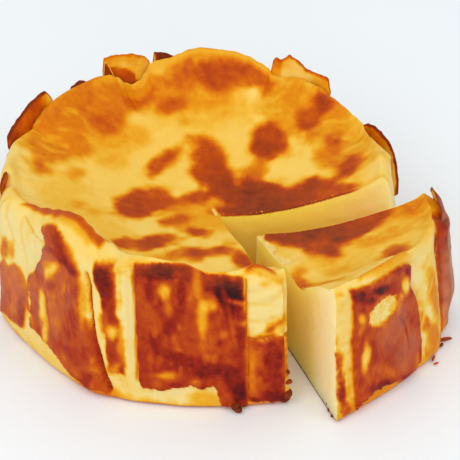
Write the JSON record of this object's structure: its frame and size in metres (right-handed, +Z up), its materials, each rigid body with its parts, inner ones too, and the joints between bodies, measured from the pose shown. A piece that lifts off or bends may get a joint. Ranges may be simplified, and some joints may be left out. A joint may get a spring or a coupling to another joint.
{
  "type": "basque cheesecake",
  "caption": "Small round burnt basque cheesecake with a sunken browned top, creased sides and one wedge slice drawn part of the way out.",
  "frame": {"origin": "centre of the whole cake's round base, on the plane it stands on", "axes": "+Z up; -Y towards the front; the drawn-out slice lies towards +X and -Y"},
  "size_m": [0.1635, 0.1567, 0.0595],
  "materials": {
    "crust_body": "satin",
    "crust_slice": "satin"
  },
  "bodies": {
    "root": {"cake_body": "crust_body", "cake_slice": "crust_slice"}
  },
  "joints": []
}
